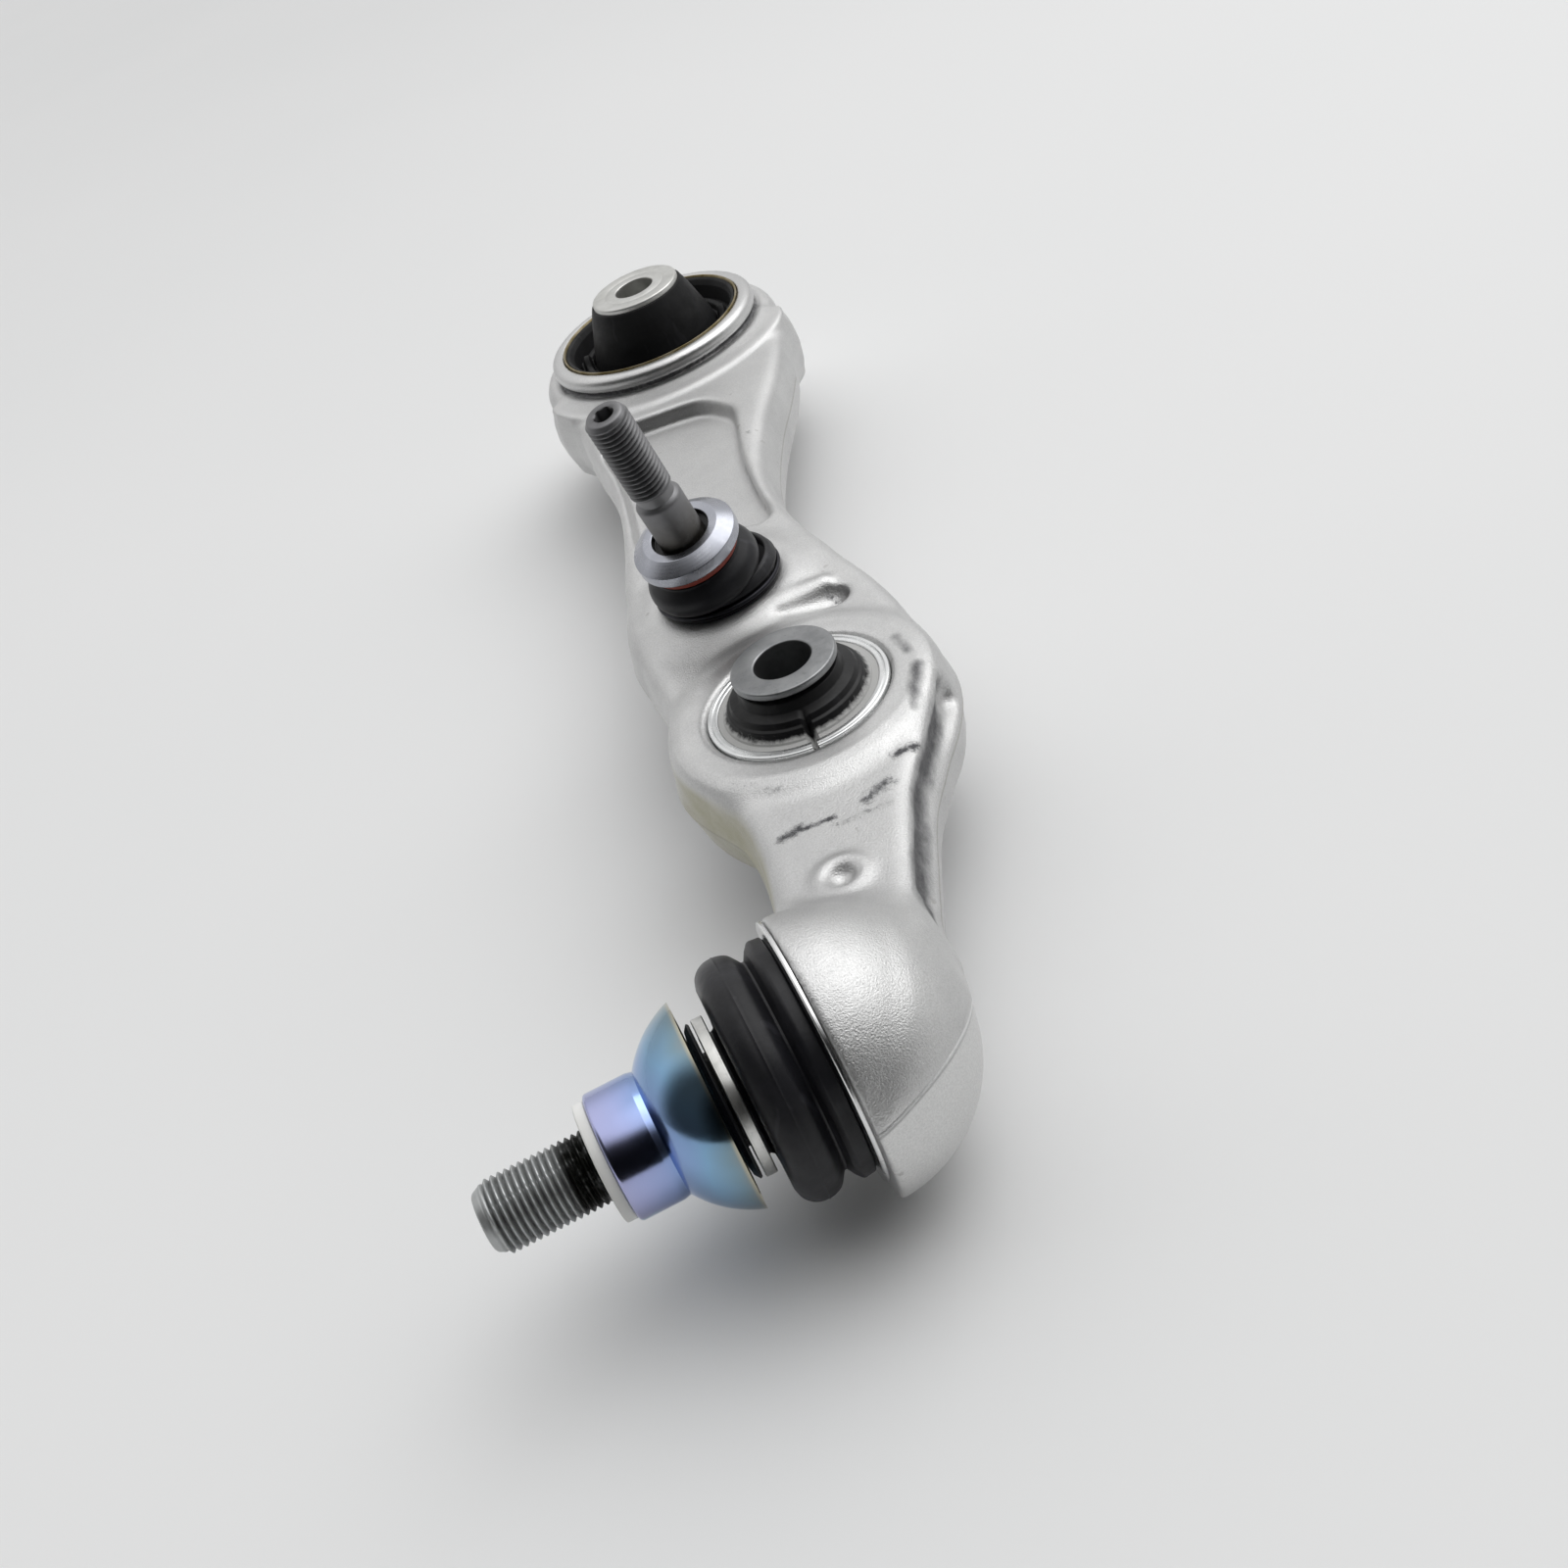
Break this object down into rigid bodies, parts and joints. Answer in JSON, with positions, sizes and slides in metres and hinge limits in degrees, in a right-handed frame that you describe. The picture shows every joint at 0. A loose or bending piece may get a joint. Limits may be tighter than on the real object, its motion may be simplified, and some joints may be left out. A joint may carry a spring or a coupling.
{
  "type": "control arm",
  "caption": "Forged aluminium lower control arm with an inner rubber bush, a strut bush, a stabiliser ball pin and a ball joint with a threaded stud.",
  "frame": {"origin": "centre of the inner bush's bolt hole, on the arm's mid-plane", "axes": "+Z along the axes of both bushes, on the side that the stabiliser pin stands out of; -Y along the arm to the main ball joint; -X the side that the main stud points to"},
  "size_m": [0.1545, 0.4355, 0.1144],
  "materials": {
    "forged_aluminium": "shot-blasted satin",
    "passivated_steel": "golden passivated",
    "bush_rubber": "matte",
    "sleeve_alloy": "machined satin",
    "shell_alloy": "machined bright",
    "sleeve_steel": "ground",
    "seat_plastic": "moulded",
    "bright_steel": "satin",
    "boot_rubber": "satin moulded",
    "zinc_steel": "grey zinc plated",
    "blue_passivate": "iridescent blue passivated zinc",
    "white_plastic": "moulded",
    "dark_steel": "dark phosphated",
    "red_seal": "satin",
    "disc_steel": "blue-grey zinc plated"
  },
  "bodies": {
    "arm": {"arm_forging": "forged_aluminium", "bush_shell": "passivated_steel", "bush_rubber": "bush_rubber", "strut_shell": "shell_alloy", "strut_rubber": "bush_rubber", "joint_ball_seat": "seat_plastic", "joint_closing_ring": "bright_steel", "joint_boot_band": "bright_steel", "pin_ball_seat": "seat_plastic", "pin_closing_disc": "bright_steel", "pin_boot_clip": "dark_steel"},
    "inner_sleeve": {"bush_inner_sleeve": "sleeve_alloy"},
    "strut_sleeve": {"strut_sleeve": "sleeve_steel"},
    "stud_boot": {"joint_boot": "boot_rubber"},
    "stud_ring": {"joint_snap_ring": "bright_steel"},
    "stud": {"ball_stud": "zinc_steel", "cone_sleeve": "blue_passivate", "thread_washer": "white_plastic", "joint_lip_seal": "boot_rubber"},
    "pin_bellows": {"pin_boot": "boot_rubber"},
    "pin_ring": {"pin_seal_ring": "red_seal"},
    "pin": {"ball_pin": "dark_steel", "pin_collar_disc": "disc_steel"}
  },
  "joints": [
    {"name": "inner_bush_twist", "type": "hinge", "parent": "arm", "child": "inner_sleeve", "pos_m": [0, 0, 0], "axis": [0, 0, 1], "range_deg": [-20, 20], "stiffness_Nm_per_rad": 20},
    {"name": "strut_bush_twist", "type": "hinge", "parent": "arm", "child": "strut_sleeve", "pos_m": [-0.0078, -0.2522, 0], "axis": [0, 0, 1], "range_deg": [-15, 15], "stiffness_Nm_per_rad": 12},
    {"name": "stud_swing_steer", "type": "hinge", "parent": "arm", "child": "stud_boot", "pos_m": [-0.02447, -0.35654, 0.00064], "axis": [0.0398, 0.0048, 0.9992], "range_deg": [-18, 18], "deforming": ["joint_boot"]},
    {"name": "stud_swing_bounce", "type": "hinge", "parent": "stud_boot", "child": "stud_ring", "pos_m": [-0.02447, -0.35654, 0.00064], "axis": [-0.1184, 0.993, 0], "range_deg": [-18, 18]},
    {"name": "stud_spin", "type": "hinge", "parent": "stud_ring", "child": "stud", "pos_m": [-0.02447, -0.35654, 0.00064], "axis": [-0.9922, -0.1183, 0.0401], "continuous": true},
    {"name": "pin_swing_side", "type": "hinge", "parent": "arm", "child": "pin_bellows", "pos_m": [-0.0144, -0.1866, 0.003], "axis": [0, 1, 0], "range_deg": [-11.35, 24.65], "deforming": ["pin_boot"]},
    {"name": "pin_swing_along", "type": "hinge", "parent": "pin_bellows", "child": "pin_ring", "pos_m": [-0.0144, -0.1866, 0.003], "axis": [0.9933, 0, 0.1158], "range_deg": [-27.4, 8.6]},
    {"name": "pin_spin", "type": "hinge", "parent": "pin_ring", "child": "pin", "pos_m": [-0.0144, -0.1866, 0.003], "axis": [-0.1142, -0.1633, 0.9799], "continuous": true}
  ]
}
